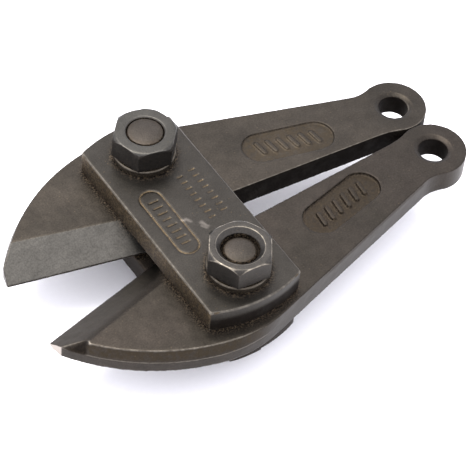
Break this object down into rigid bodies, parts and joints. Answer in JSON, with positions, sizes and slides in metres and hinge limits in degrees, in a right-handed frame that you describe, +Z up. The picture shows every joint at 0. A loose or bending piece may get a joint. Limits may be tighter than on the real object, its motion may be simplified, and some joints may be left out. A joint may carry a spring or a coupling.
{
  "type": "bolt cutter head",
  "caption": "Forged bolt cutter head without handles: blades that pivot between flat side plates on shoulder bolts with hex nuts, and a handle eye at the end of each tail.",
  "frame": {"origin": "middle of the footprint at rest (jaws open), on the surface that the bolt heads stand on", "axes": "+X from the blades to the handle eyes, +Z up out of the nuts, Y = 0 is the plane in which the blades meet, +Y towards the right jaw"},
  "size_m": [0.1798, 0.1046, 0.0505],
  "materials": {
    "forged_jaw_steel": "forged and black oxided, ground edge bevels",
    "black_oxide_plate": "black oxide over sawn bar, worn bright at the edges",
    "black_bolt_steel": "black oxide",
    "worn_nut_steel": "black oxide worn grey on the faces",
    "washer_steel": "black oxide worn bright at the rim"
  },
  "bodies": {
    "plates": {"upper_side_plate": "black_oxide_plate", "lower_side_plate": "black_oxide_plate", "left_pivot_bolt": "black_bolt_steel", "right_pivot_bolt": "black_bolt_steel", "left_hex_nut": "worn_nut_steel", "right_hex_nut": "worn_nut_steel", "left_washer": "washer_steel", "right_washer": "washer_steel"},
    "left_jaw": {"left_jaw": "forged_jaw_steel"},
    "right_jaw": {"right_jaw": "forged_jaw_steel"}
  },
  "joints": [
    {"name": "left_jaw_pivot", "type": "hinge", "parent": "plates", "child": "left_jaw", "pos_m": [-0.02367, -0.0311, 0.02343], "axis": [0, 0, 1], "range_deg": [-13, 0]},
    {"name": "right_jaw_pivot", "type": "hinge", "parent": "plates", "child": "right_jaw", "pos_m": [-0.02367, 0.0311, 0.02343], "axis": [0, 0, 1], "range_deg": [0, 13]}
  ],
  "couplings": [
    {"joint": "right_jaw_pivot", "follows": "left_jaw_pivot", "ratio": -1}
  ]
}
